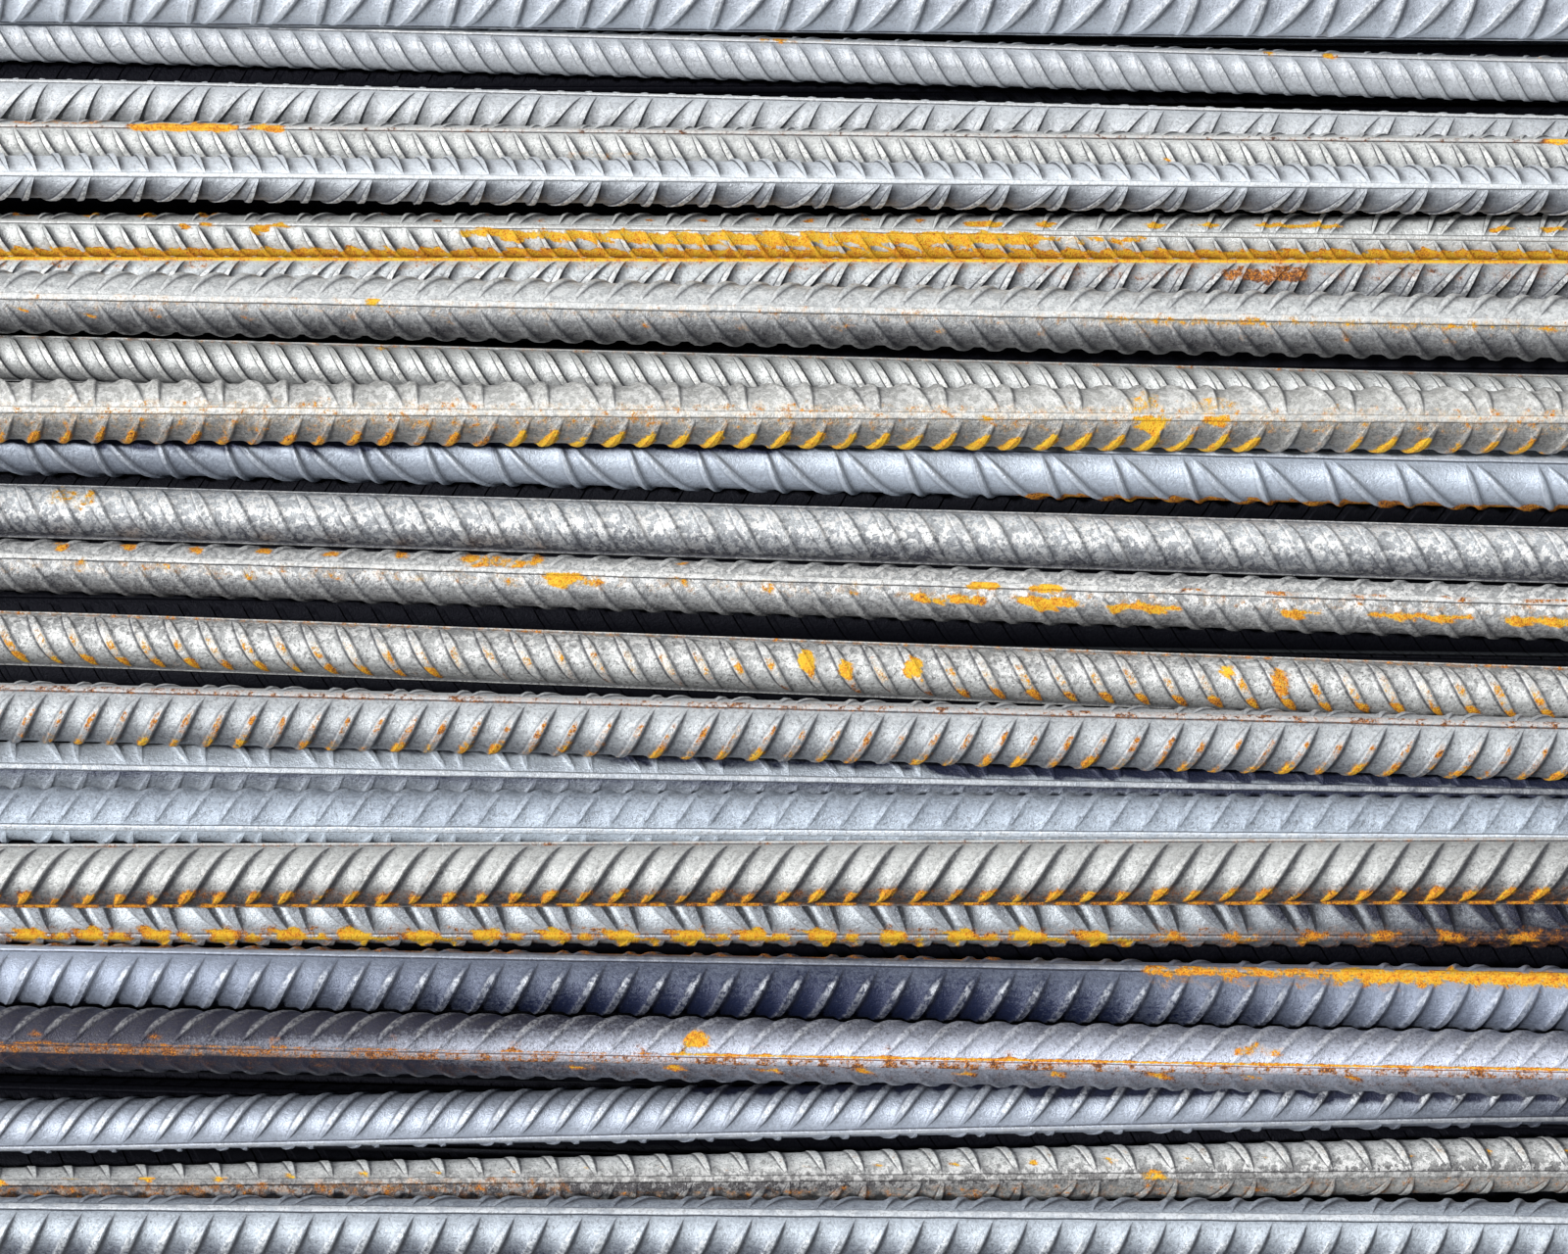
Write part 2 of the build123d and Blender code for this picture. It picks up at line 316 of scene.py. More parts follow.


# One entry for each top bar. Places along it, x, are in millimetres, and places across go from -1 to 1.
# Seam: angle of the long rib in degrees, from the far side over the top. Twist: its turn in a metre.
# Upper and lower: slant of each row of ribs from above, doubled where steep and shallow alternate.
# Leans: their cotangents, where they are neither EVEN nor PAIRED. Spacing and shift are in millimetres.
# Broad and proud: breadth and height of the ribs. Drop: how much darker the lower row's side is.
# Tone: dark to light at the far side, the middle and the near side, with painted shading. Tint: bluish
# to warm.
# Dusk: bluish film. Pale: flaking scale at the two ends. Cream: chalky long rib. Wear_and_glint: worn
# crests, with a painted glint.
# Glint: where across the bar the crests carry a painted glint, and the half width of that zone.
# Crest_tone: change of tone on the crests. Lines: dirt with painted shade on the right and left flanks
# of the ribs.
# Grit: how mottled the steel is. Painted_shade: how deeply painted shade darkens the bar.
# Crests and seam_rust: rust on rib crests and on the long rib, as strength and brownness.
# Tips: rust on rib tips, as x from and to, strength and brownness.
# Rust: patches, as x from and to, across from and to, strength and brownness.
# Scale: patches of painted shadow, given in the same way without brownness.
# Shades: x, half width and change of tone.
LOOKS = {
    "bar_01": Look(tint=0.4),
    "bar_02": Look(
        seam=35, upper="/", lower="//", leans=((), (0.34, 0.88)), spacing=8.9, shift=(0, -3.1),
        proud=0.8, tone=(0.66, 0.48, 1.0), tint=0.3, dusk=0.2, wear_and_glint=0.6, lines=(0.6, 0.22), grit=0.2,
        shades=((-215, 150, 0.15),),
    ),
    "bar_03": Look(
        seam=54, upper="//", lower="\\", spacing=6.92, shift=(0, -3.3), proud=0.7,
        tone=(0.88, 0.6, 0.88), tint=0.55, dusk=0.2, cream=0.9, wear_and_glint=0.6, glint=(-0.3, 0.4),
        lines=(0.6, 0.4), grit=0.2, scale=((-215, -60, 0.5, 1.0, 0.1),),
        rust=((-13, 0, -0.95, -0.7, 0.6, 0.2), (5, 9, -0.95, -0.75, 0.6, 0.2),
              (113, 116, -1, -0.8, 0.6, 0.3), (122, 126, -0.95, -0.7, 0.8, 0.3),
              (139, 143, -0.95, -0.65, 1.0, 0.4), (194, 197, -0.95, -0.75, 0.9, 0.3)),
    ),
    "bar_04": Look(
        seam=42, upper="\\", lower="//", leans=((), (0.52, 0.97)), spacing=7.59, shift=(0, 1.9),
        tone=(0.78, 0.58, 0.56), tint=0.55, dusk=0.12, cream=0.8, wear_and_glint=0.35, glint=(0.2, 0.6),
        lines=(0.75, 0.1), grit=0.3, shades=((-215, 120, 0.06), (205, 100, -0.08)),
    ),
    "bar_05": Look(
        seam=57, upper="//", lower="\\", spacing=6.84, shift=(0, 5.2), proud=0.8, tone=(0.6, 0.66, 0.8),
        tint=0.7, wear_and_glint=1.0, glint=(0.1, 0.9), lines=(1.3, 1.2), grit=0.35, seam_rust=(0.45, 0.8),
        rust=((-215, -185, -1, -0.8, 0.6, 0.5), (-181, -150, -0.95, -0.55, 0.95, 0.3),
              (-146, -136, -0.95, -0.55, 0.95, 0.3), (-62, -38, 0.1, 0.5, 0.45, 0.2),
              (97, 100, 0.2, 0.4, 0.8, 0.3), (196, 201, -0.95, -0.6, 0.95, 0.3)),
    ),
    "bar_06": Look(
        seam=99, upper="\\", lower="//", leans=((), (0.50, 1.06)), spacing=7.65, shift=(0, 7.6),
        broad=0.9, drop=0.3, tone=(0.68, 0.88, 0.55), tint=0.42, dusk=0.1, cream=0.4, wear_and_glint=1.0,
        glint=(0.5, 0.6), lines=(1.5, 0.9), grit=0.25,
    ),
    "bar_07": Look(
        seam=86, twist=110, upper="//", lower="\\", spacing=7.17, shift=(-3.6, 0.4), broad=0.85,
        tone=(1.0, 0.72, 1.0), tint=0.65, wear_and_glint=1.0, glint=(-0.15, 0.8), lines=(1.5, 1.1), grit=0.35,
        rust=((-91, -74, -0.4, 0.05, 0.8, 0.1), (-80, -40, -0.33, 0.25, 0.74, 0.1),
              (-45, 66, -0.28, 0.42, 0.74, 0.1), (64, 95, -0.1, 0.3, 0.6, 0.1),
              (-215, 203, 0.52, 1.15, 0.9, 0.24), *spots(-128, 40, 14.5, 2.5, -1.0, -0.72, 0.85, 0.6),
              *spots(-215, -150, 17, 8, -1.15, -0.92, 0.95, 0.4), (-168, -164, -0.62, -0.35, 0.95, 0.3),
              (-162, -157, -0.62, -0.4, 0.95, 0.3), (-148, -141, -0.6, -0.15, 1.0, 0.2),
              (-141, -136, -0.6, -0.4, 0.9, 0.2), (44, 56, -0.78, -0.48, 1.0, 0.2),
              (62, 70, -0.78, -0.5, 0.95, 0.25), (91, 99, -0.72, -0.45, 0.95, 0.2),
              (104, 113, -0.7, -0.42, 0.95, 0.2), (121, 144, -0.68, -0.4, 0.95, 0.2),
              (181, 190, -0.55, -0.28, 0.95, 0.3), (194, 203, -0.52, -0.25, 0.95, 0.25)),
        scale=(*spots(-218.6, 205, 14.34, 3.4, -1.15, -0.78, 0.6),
               *spots(-212.9, 205, 14.34, 6.2, -1.15, -0.78, 0.6)),
    ),
    "bar_08": Look(
        seam=37, upper="\\", lower="//", leans=((), (0.56, 1.0)), spacing=7.5, shift=(0, -4.3),
        broad=0.9, tone=(1.0, 0.4, 0.48), tint=0.5, wear_and_glint=0.9, glint=(-0.3, 0.5), lines=(1.5, 1.0),
        grit=0.45, seam_rust=(0.95, 0.2), shades=((205, 120, -0.18),),
        rust=((*WHOLE, -1.1, -0.4, 0.40, 0.3), (-207, -180, -0.85, -0.5, 0.5, 0.6),
              (60, 205, -0.85, 0.0, 0.42, 0.6), (112, 126, -0.65, 0.0, 0.68, 0.8),
              (119, 136, -0.75, 0.1, 0.70, 0.85)),
    ),
    "bar_09": Look(
        seam=94, upper="/", lower="\\", spacing=8.56, shift=(1.6, 2.2), drop=0.12,
        tone=(0.63, 0.5, 0.22), tint=0.6, pale=(0.3, 0.3), cream=0.45, wear_and_glint=0.75, glint=(-0.5, 0.6),
        lines=(0.6, 0.35), grit=0.35,
        rust=((*WHOLE, -0.35, 0.3, 0.38, 0.1), (-112, -106, -0.35, -0.05, 0.95, 0.1),
              (-188, -183, 0.3, 0.55, 0.9, 0.4), (-206, -202, 0.2, 0.45, 0.8, 0.4),
              (80, 203, -0.15, 0.12, 0.55, 0.1), *spots(-170, 190, 26, 5, 0.25, 0.6, 0.5, 0.3)),
    ),
    "bar_10": Look(
        seam=20, upper="/", lower="\\", leans=((), (0.66, 0.66)), spacing=7.3, shift=(0, 4.1),
        proud=0.75, tone=(1.0, 0.7, 0.52), tint=0.65, wear_and_glint=1.0, glint=(-0.1, 0.7), lines=(1.1, 0.95),
        grit=0.35,
        rust=((-215, 203, -1.1, -0.93, 0.42, 0.3), (-113, -107, -0.97, -0.7, 0.7, 0.3)),
    ),
    "bar_11": Look(
        seam=101, upper="\\\\", lower="/", spacing=8.61, shift=(5.1, 6.0), drop=0.15,
        tone=(0.53, 0.5, 0.38), tint=0.8, pale=(0.45, 0.3), cream=0.45, wear_and_glint=0.5, glint=(0.5, 0.8),
        lines=(0.6, 0.25), grit=0.35,
        tips=((-215, -75, 0.85, 0.4), (-75, 125, 1.35, 0.1), (125, 145, 0.5, 0.3),
              (145, 168, 1.3, 0.15), (168, 205, 0.8, 0.2)),
        rust=((*WHOLE, -0.5, 0.5, 0.42, 0.1), (88, 99, -0.85, -0.1, 0.56, 0.0),
              (91, 99, -0.15, 0.5, 0.95, 0.15), (103, 118, -0.75, -0.1, 0.52, 0.0),
              (107, 115, -0.15, 0.2, 0.85, 0.2), (*WHOLE, -0.2, 0.0, 0.34, 0.4),
              (-215, -60, 0.15, 0.7, 0.43, 0.15), (50, 55, -0.1, 0.2, 0.8, 0.3)),
    ),
    "bar_12": Look(
        seam=64, upper="\\\\", lower="\\\\", leans=((), (0.34, 0.95)), spacing=9.05, shift=(0, -2.3),
        broad=0.75, tone=(0.7, 0.88, 0.6), tint=0.1, dusk=0.15, wear_and_glint=0.5, lines=(0.5, 0.35), grit=0.15,
        rust=((60, 205, 0.9, 1.1, 1.0, 0.6),), shades=((-200, 110, -0.3),),
        scale=((-240, -105, -1.2, 0.02, 0.75), (-115, 0, -1.2, -0.2, 0.75), (-10, 75, -1.2, -0.42, 0.7),
               (65, 150, -1.2, -0.68, 0.6)),
    ),
    "bar_13": Look(
        seam=4, upper="/", lower="\\", spacing=9.6, shift=(0, -1.4), broad=1.4, proud=0.65,
        tone=(1.0, 0.43, 0.08), tint=0.4, pale=(1.0, 1.0), wear_and_glint=0.4, glint=(-0.2, 0.5),
        lines=(0.5, 0.5), grit=0.4,
        rust=((-199, -184, -0.95, -0.1, 0.52, 0.0), (-100, 205, -1.0, -0.8, 0.3, 0.8)),
    ),
    "bar_14": Look(
        seam=77, upper="/", lower="\\", spacing=9.45, shift=(0, 2.3), proud=0.8, tone=(0.6, 0.46, 0.25),
        tint=0.6, pale=(0.4, 0.8), cream=0.6, wear_and_glint=0.5, lines=(0.5, 0.2), grit=0.5,
        shades=((-200, 100, -0.12),),
        rust=((127, 140, 0.15, 0.5, 0.76, 0.25), (150, 178, 0.1, 0.5, 0.76, 0.3),
              (184, 205, 0.15, 0.55, 0.8, 0.25), (*WHOLE, -0.35, 0.3, 0.38, 0.1),
              (32, 54, 0.05, 0.42, 0.76, 0.25), (61, 77, 0.0, 0.5, 0.8, 0.2),
              (83, 104, 0.1, 0.5, 0.8, 0.25), *spots(-197, -50, 18.5, 5, -1.05, -0.65, 0.85, 0.4),
              *spots(-190, 60, 23, 4, -0.4, 0.3, 0.55, 0.15), (-88, -62, -0.95, -0.45, 0.6, 0.2),
              (-63, -54, -0.42, 0.15, 0.86, 0.05), (-30, -25, -1, -0.8, 0.8, 0.4),
              (47, 57, -0.5, -0.2, 0.9, 0.1), (64, 73, -0.5, -0.15, 0.9, 0.1),
              *spots(100, 195, 22, 14, -0.5, -0.3, 0.6, 0.6)),
    ),
    "bar_15": Look(
        seam=9, upper="/", lower="\\", spacing=9.29, shift=(0, -2.2), broad=1.2, proud=0.75,
        tone=(0.52, 0.69, 0.52), tint=0.65, pale=(0.7, 0.5), wear_and_glint=0.45, glint=(0.1, 0.7),
        lines=(0.6, 0.8), grit=0.6, crests=(0.55, 0.15),
        tips=((-215, -85, 1.2, 0.35), (-85, 45, 0.7, 0.8), (45, 205, 1.2, 0.45)),
        rust=((*WHOLE, -1.1, -0.92, 0.45, 0.3), (4, 9, -0.7, 0.25, 0.92, 0.1),
              (15, 19, -0.35, 0.35, 0.85, 0.1), (32, 37, -0.5, 0.3, 0.92, 0.1),
              (112, 117, -0.75, -0.2, 0.8, 0.1), (126, 131, -0.65, 0.4, 0.74, 0.4)),
    ),
    "bar_16": Look(
        seam=48, twist=18, upper="//", lower="/", spacing=8.43, shift=(4.0, 5.0), tone=(0.5, 0.62, 0.3),
        tint=0.45, pale=(0.1, 0.1), wear_and_glint=0.45, glint=(0.1, 0.6), lines=(0.75, 0.45), grit=0.4,
        crests=(0.62, 0.45), seam_rust=(0.5, 0.7), tips=((*WHOLE, 0.75, 0.25),),
    ),
    "bar_17": Look(
        seam=95, upper="\\\\", lower="/", spacing=8.55, proud=0.8, drop=0.35, tone=(0.8, 0.42, 0.9),
        tint=0.15, cream=0.45, wear_and_glint=0.3, lines=(0.3, 0.10), grit=0.2, shades=((205, 90, -0.42),),
        scale=((-150, -35, -1.2, -0.8, 0.7), (-45, 50, -1.2, -0.5, 0.75), (40, 240, -1.2, -0.25, 0.8)),
    ),
    "bar_18": Look(
        seam=124, upper="/", lower="//", spacing=8.48, shift=(5.6, 0), tone=(0.46, 0.55, 1.0), tint=0.0,
        cream=0.7, wear_and_glint=0.15, lines=(0.15, 0.05), grit=0.4, seam_rust=(0.2, 0.5),
    ),
    "bar_19": Look(
        seam=12, upper="\\\\", lower="/", leans=((), (0.7, 0.7)), spacing=8.5, shift=(0, -0.6),
        tone=(0.6, 0.62, 0.1), tint=0.7, wear_and_glint=0.35, glint=(0.1, 0.5), lines=(0.95, 0.15), grit=0.4,
        crests=(0.3, 0.4), seam_rust=(0.4, 0.6), tips=((*WHOLE, 1.25, 0.3),),
        shades=((215, 60, -0.15),),
        rust=((*WHOLE, 0.4, 0.95, 0.45, 0.7), (*WHOLE, 0.98, 1.2, 0.9, 0.5)),
    ),
    "bar_20": Look(
        seam=143, upper="\\\\", lower="/", leans=((0.5, 0.85), ()), spacing=8.63, shift=(-5.9, 0),
        broad=1.7, tone=(0.6, 0.85, 0.6), tint=0.3, cream=0.0, wear_and_glint=0.0, crest_tone=-0.45,
        lines=(1.2, 0.5), grit=0.35, seam_rust=(0.45, 1.0), shades=((205, 80, -0.7),),
        rust=((*WHOLE, 0.35, 1.15, 0.46, 0.55), *spots(-200, 90, 17.4, 8, 0.48, 0.98, 0.95, 0.05),
              *spots(-191, 90, 17.4, 5, 0.62, 0.98, 0.85, 0.05),
              *spots(97, 200, 17.4, 9, 0.55, 0.95, 0.75, 0.45)),
    ),
    "bar_21": Look(
        seam=42, twist=25, upper="//", lower="/", spacing=8.7, shift=(0, 4.2), tone=(0.36, 0.2, 0.1),
        tint=0.05, dusk=0.35, cream=0.3, wear_and_glint=0.9, glint=(-0.15, 0.3), lines=(0.55, 0.2), grit=0.1,
        shades=((20, 100, -0.2), (-215, 90, 0.4), (205, 80, 0.25)),
        rust=((93, 150, -0.86, -0.48, 0.64, 0.3), (140, 205, -0.9, -0.36, 0.72, 0.2),
              (95, 205, -0.5, -0.15, 0.44, 0.2), (-215, 60, -1.1, -0.95, 0.6, 0.6)),
    ),
    "bar_22": Look(
        seam=114, upper="/", lower="\\", leans=((0.85, 0.85), ()), spacing=8.66, shift=(-4.6, 0),
        proud=0.75, drop=0.15, tone=(0.32, 0.9, 0.5), tint=0.5, dusk=0.55, cream=0.2, wear_and_glint=1.0,
        glint=(-0.1, 0.28), lines=(0.3, 0.12), grit=0.45, crests=(0.6, 0.65), seam_rust=(0.55, 0.7),
        shades=((-200, 130, -0.85), (-110, 60, -0.1)),
        rust=((-25, 205, 0.14, 0.24, 0.86, 0.25), (-215, -25, 0.16, 0.24, 0.62, 0.5),
              (-21, -13, -0.6, 0.1, 0.72, 0.2), (116, 130, -0.5, 0.0, 0.6, 0.3),
              *spots(-50, 150, 24, 7, 0.5, 0.7, 0.75, 0.3), (*WHOLE, 0.45, 1.0, 0.41, 0.92),
              *spots(-190, 60, 31, 6, -0.3, 0.1, 0.5, 0.6)),
    ),
    "bar_23": Look(
        seam=145, twist=-20, upper="/", lower="//", leans=((0.72, 0.72), ()), spacing=8.67,
        shift=(3.0, 0), tone=(0.46, 0.78, 0.68), tint=0.2, dusk=0.3, wear_and_glint=1.0, glint=(0.15, 0.45),
        lines=(0.7, 0.5), grit=0.2, crests=(0.1, 0.5), shades=((215, 70, -0.6),),
        scale=((-20, 75, -1.2, -0.7, 0.7), (65, 145, -1.2, -0.3, 0.75), (135, 240, -1.2, 0.0, 0.8)),
    ),
    "bar_24": Look(
        seam=89, twist=110, upper="\\", lower="//", leans=((0.46, 0.46), ()), spacing=9.75,
        shift=(1.0, 3.0), broad=1.15, proud=0.45, crest_tone=0.35, tone=(1.0, -0.04, 0.42), tint=0.7,
        pale=(0.05, 0.85), cream=0.2, wear_and_glint=1.0, glint=(-0.5, 0.6), lines=(1.0, 0.8), grit=0.5,
        crests=(0.4, 0.15), shades=((-160, 130, -0.35), (205, 130, 0.2)),
        rust=((-205, -50, -0.3, 0.3, 0.45, 0.4), (-205, 205, 0.3, 1.0, 0.42, 0.35),
              *spots(-200, 200, 19, 3, -0.6, -0.3, 0.75, 0.1), (94, 102, -0.05, 0.4, 0.66, 0.05)),
    ),
    "bar_25": Look(
        seam=56, twist=45, upper="//", lower="/", spacing=8.54, shift=(0, 0.6), tone=(0.36, 0.7, 0.14),
        tint=0.15, cream=0.6, wear_and_glint=0.9, glint=(0.3, 0.45), lines=(0.8, 0.2), grit=0.35,
    ),
    "bar_26": Look(tint=0.3),
}


def smooth_step(low, high, value):
    t = np.clip((value - low) / (high - low), 0.0, 1.0)
    return t * t * (3.0 - 2.0 * t)


def between(value, low, high, soft):
    """One between low and high, eased to zero over a soft edge at both."""
    past_low = smooth_step(low - soft, low + soft, value)
    past_high = smooth_step(high - soft, high + soft, value)
    return past_low * (1 - past_high)


def bell(value, centre, half_width):
    return np.exp(-(((value - centre) / half_width) ** 2))


def ramp(x):
    """Zero before a bend and x after it, eased over the bend."""
    eased = (x + BEND_EASE) ** 2 / (4 * BEND_EASE)
    return np.where(x < -BEND_EASE, 0.0, np.where(x > BEND_EASE, x, eased))


def ramp_slope(x):
    return np.clip((x + BEND_EASE) / (2 * BEND_EASE), 0.0, 1.0)


class Line:
    """The axis and radius of one bar, read from its CAD solid."""

    def __init__(self, points):
        low, high = points.min(0), points.max(0)
        self.start, self.end = low[0], high[0]
        self.height = (low[2] + high[2]) / 2
        self.radius = (high[2] - low[2]) / 2
        self.before = points[points[:, 0] < low[0] + MM, 1].mean()
        self.after = points[points[:, 0] > high[0] - MM, 1].mean()
        # A straight bar has no bends, and any place does for them
        inner = np.abs(points[np.abs(points[:, 0]) < self.end / 2, 0])
        self.bend = inner.mean() if len(inner) else 1.0
        self.slope = (self.after - self.before) / (2 * self.bend)
        self.stock = STOCK[round(self.radius / MM)]

    def lane(self, x):
        return self.before + self.slope * (ramp(x + self.bend) - ramp(x - self.bend))

    def lean(self, x):
        return self.slope * (ramp_slope(x + self.bend) - ramp_slope(x - self.bend))

    def at(self, x, angle, radius):
        """Points at these stations, angles and radii; an angle of zero faces +Y, 90 degrees up."""
        out = radius * np.cos(angle)
        along = x - out * self.lean(x)
        return np.stack([along, self.lane(x) + out, self.height + radius * np.sin(angle)], axis=-1)


def node_points(node):
    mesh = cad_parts[node].data
    points = np.empty(len(mesh.vertices) * 3)
    mesh.vertices.foreach_get("co", points)
    return points.reshape(-1, 3)


def node_edges(node):
    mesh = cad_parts[node].data
    edges = np.empty(len(mesh.edges) * 2, dtype=int)
    mesh.edges.foreach_get("vertices", edges)
    return edges.reshape(-1, 2)


def lines_in(node):
    """One Line for each bar of a node that holds a whole row of them."""
    points = node_points(node)
    edges = node_edges(node)
    group = np.arange(len(points))
    changed = True
    while changed:
        before = group.copy()
        least = np.minimum(group[edges[:, 0]], group[edges[:, 1]])
        np.minimum.at(group, edges[:, 0], least)
        np.minimum.at(group, edges[:, 1], least)
        changed = (before != group).any()
    bars = [points[group == label] for label in np.unique(group)]
    lines = [Line(own) for own in bars if np.ptp(own[:, 0]) > SHORTEST_BAR]
    return sorted(lines, key=lambda line: line.before)


class Builder:
    """Collects grids of points, with a few values at each point, into one mesh."""

    VALUES = ("rust", "brown", "tone", "tint", "dusk", "pale", "cream", "wear_and_glint", "grit", "dirt",
              "painted_shade", "far")

    def __init__(self):
        self.points = []
        self.values = {name: [] for name in self.VALUES}
        self.uvs = []
        self.faces = []
        self.creases = []
        self.count = 0

    def grid(self, points, uv, outward, creases=False, **values):
        """Add a grid; its columns that are marked as creases keep a sharp edge."""
        columns, rows = points.shape[:2]
        index = self.count + np.arange(columns * rows).reshape(columns, rows)
        corners = [index[:-1, :-1], index[1:, :-1], index[1:, 1:], index[:-1, 1:]]
        if not outward:
            corners.reverse()
        self.faces.append(np.stack(corners, axis=-1).reshape(-1, 4))
        self.points.append(points.reshape(-1, 3))
        self.uvs.append(uv.reshape(-1, 2))
        marked = np.broadcast_to(creases, columns)[:, None]
        crease = np.where(marked, index[:, :1], -1)
        self.creases.append(np.broadcast_to(crease, (columns, rows)).reshape(-1))
        for name in self.VALUES:
            value = np.broadcast_to(values.get(name, 0.0), (columns, rows))
            self.values[name].append(value.reshape(-1))
        self.count += columns * rows

    def mesh(self, name):
        points = np.concatenate(self.points)
        faces = np.concatenate(self.faces)
        uvs = np.concatenate(self.uvs)
        mesh = bpy.data.meshes.new(name)
        mesh.vertices.add(len(points))
        mesh.vertices.foreach_set("co", points.ravel())
        mesh.loops.add(faces.size)
        mesh.loops.foreach_set("vertex_index", faces.ravel())
        mesh.polygons.add(len(faces))
        mesh.polygons.foreach_set("loop_start", np.arange(0, faces.size, 4))
        mesh.update(calc_edges=True)
        mesh.polygons.foreach_set("use_smooth", np.ones(len(faces), dtype=bool))
        layer = mesh.uv_layers.new(name="ribs")
        layer.data.foreach_set("uv", uvs[faces.ravel()].ravel())
        return mesh

    def mark_values(self, mesh):
        for key, parts in self.values.items():
            attribute = mesh.attributes.new(key, "FLOAT", "POINT")
            attribute.data.foreach_set("value", np.concatenate(parts))

    def mark_creases(self, mesh):
        creases = np.concatenate(self.creases)
        edges = np.empty(len(mesh.edges) * 2, dtype=int)
        mesh.edges.foreach_get("vertices", edges)
        first, second = creases[edges[0::2]], creases[edges[1::2]]
        sharp = mesh.attributes.new("sharp_edge", "BOOLEAN", "EDGE")
        sharp.data.foreach_set("value", (first >= 0) & (first == second))

    def piece(self, name, material):
        mesh = self.mesh(name)
        self.mark_values(mesh)
        self.mark_creases(mesh)
        mesh.materials.append(material)
        piece = bpy.data.objects.new(name, mesh)
        bpy.context.scene.collection.objects.link(piece)
        return piece


def seam_angle(look, x):
    """The long rib turns slowly round the bar over the close stretch."""
    turned = np.clip(x, CLOSE_FROM, CLOSE_TO)
    return np.radians(look.seam + look.twist * turned)


def patch(place, across, x0, x1, a0, a1):
    """One in the middle of a patch with wavering edges, and nothing well outside it."""
    long_wave, short_wave = WAVER_WAVES
    waver = LONG_WAVER * np.sin(place * long_wave + x0) + SHORT_WAVER * np.sin(place * short_wave + a0)
    across = across + waver * min((a1 - a0) / BROAD_PATCH, 1.0)
    if x0 <= PATCH_FROM and x1 >= PATCH_TO:
        place = 0.0 * place
    soft_x = min((x1 - x0) / 2, PATCH_SOFT)
    soft_a = min((a1 - a0) / 2, PATCH_SOFT_ACROSS)
    out_x = np.maximum((np.abs(place - (x0 + x1) / 2) - (x1 - x0) / 2) / soft_x + 1, 0.0)
    out_a = np.maximum((np.abs(across - (a0 + a1) / 2) - (a1 - a0) / 2) / soft_a + 1, 0.0)
    return 1 - smooth_step(*PATCH_EDGE, np.hypot(out_x, out_a))


def add_rust(rust, brown, amount, brownness):
    """Where more rust comes, it brings its own brownness."""
    return np.maximum(rust, amount), np.where(amount > rust, brownness, brown)


def rust_values(look, place, across, facing, relief, on_top, on_seam):
    """Strength and brownness of the rust."""
    if on_seam:
        strength, brownness = look.seam_rust
        rust = np.full_like(place, strength)
    else:
        strength, brownness = look.crests
        rust = strength * smooth_step(*RUST_HEIGHT, relief) * on_top
    brown = np.full_like(rust, brownness)
    if not on_seam:
        # Some tips are rustier than others
        high = LEAST_TIP + (1 - LEAST_TIP) * smooth_step(*TIP_HEIGHT, relief)
        fast, slow = TIP_RUST_WAVES
        swing = TIP_RUST_SWING * np.sin(place * fast + look.seam) * np.sin(place * slow + 2.0)
        tip_zone = smooth_step(*TIP_ZONE, across) * high * facing * (TIP_RUST + swing)
        for x0, x1, strength, brownness in look.tips:
            amount = strength * tip_zone * between(place, x0, x1, PATCH_SOFT)
            rust, brown = add_rust(rust, brown, amount, brownness)
    for x0, x1, a0, a1, strength, brownness in look.rust:
        amount = strength * patch(place, across, x0, x1, a0, a1) * facing
        rust, brown = add_rust(rust, brown, amount, brownness)
    return rust, brown


def tone_values(look, place, across, relief, on_seam, drop):
    """How light the steel is: its own tone, with painted shading across the bar and patches of painted
    shadow.
    """
    tone = np.interp(across, TONE_PLACES, look.tone) - drop
    if not on_seam:
        tone = tone + look.crest_tone * smooth_step(*TONE_HEIGHT, relief)
    for centre, half_width, change in look.shades:
        tone = tone + change * bell(place, centre, half_width)
    # Scale patches are painted shadows
    for x0, x1, a0, a1, strength in look.scale:
        tone = tone - strength * patch(place, across, x0, x1, a0, a1)
    return tone


def finish_values(line, look, x, angle, relief, on_seam=False, drop=0.0):
    """The values that the steel's material reads, as the photograph shows them over a bar."""
    tilt = atan2(CAMERA_PLACE.z - line.height, CAMERA_PLACE.y - line.lane(0.0)) - pi / 2
    across = -np.cos(angle - tilt)
    facing = np.sin(angle - tilt) > TURNED_AWAY
    place = x / MM
    # Crests carry a painted glint, strongest in this zone across the bar
    on_top = LEAST_GLINT + (1 - LEAST_GLINT) * bell(across, *look.glint)
    rust, brown = rust_values(look, place, across, facing, relief, on_top, on_seam)
    tone = tone_values(look, place, across, relief, on_seam, drop)
    cream = look.cream * relief if on_seam else 0.0
    wear_and_glint = 0.0 if on_seam else look.wear_and_glint * on_top * smooth_step(*WEAR_AND_GLINT_HEIGHT, relief)
    lit = LEAST_PALE + (1 - LEAST_PALE) * smooth_step(*PALE_ZONE, across)
    pale = np.interp(place, WHOLE, look.pale) * lit
    # Painted shade darkens the upper side of a layer bar
    painted_shade = look.painted_shade * smooth_step(*PAINTED_SHADE_ZONE, np.sin(angle))
    return {"rust": rust, "brown": brown, "tone": tone, "tint": look.tint, "dusk": look.dusk,
            "pale": pale, "cream": cream, "wear_and_glint": wear_and_glint, "grit": look.grit, "painted_shade": painted_shade}


def rib_rows(count):
    """Places across a row of ribs, closer together at its two ends."""
    even = np.linspace(-1.0, 1.0, count)
    return 0.5 + 0.5 * ((1 + CROWDING) * even - CROWDING * even**3)


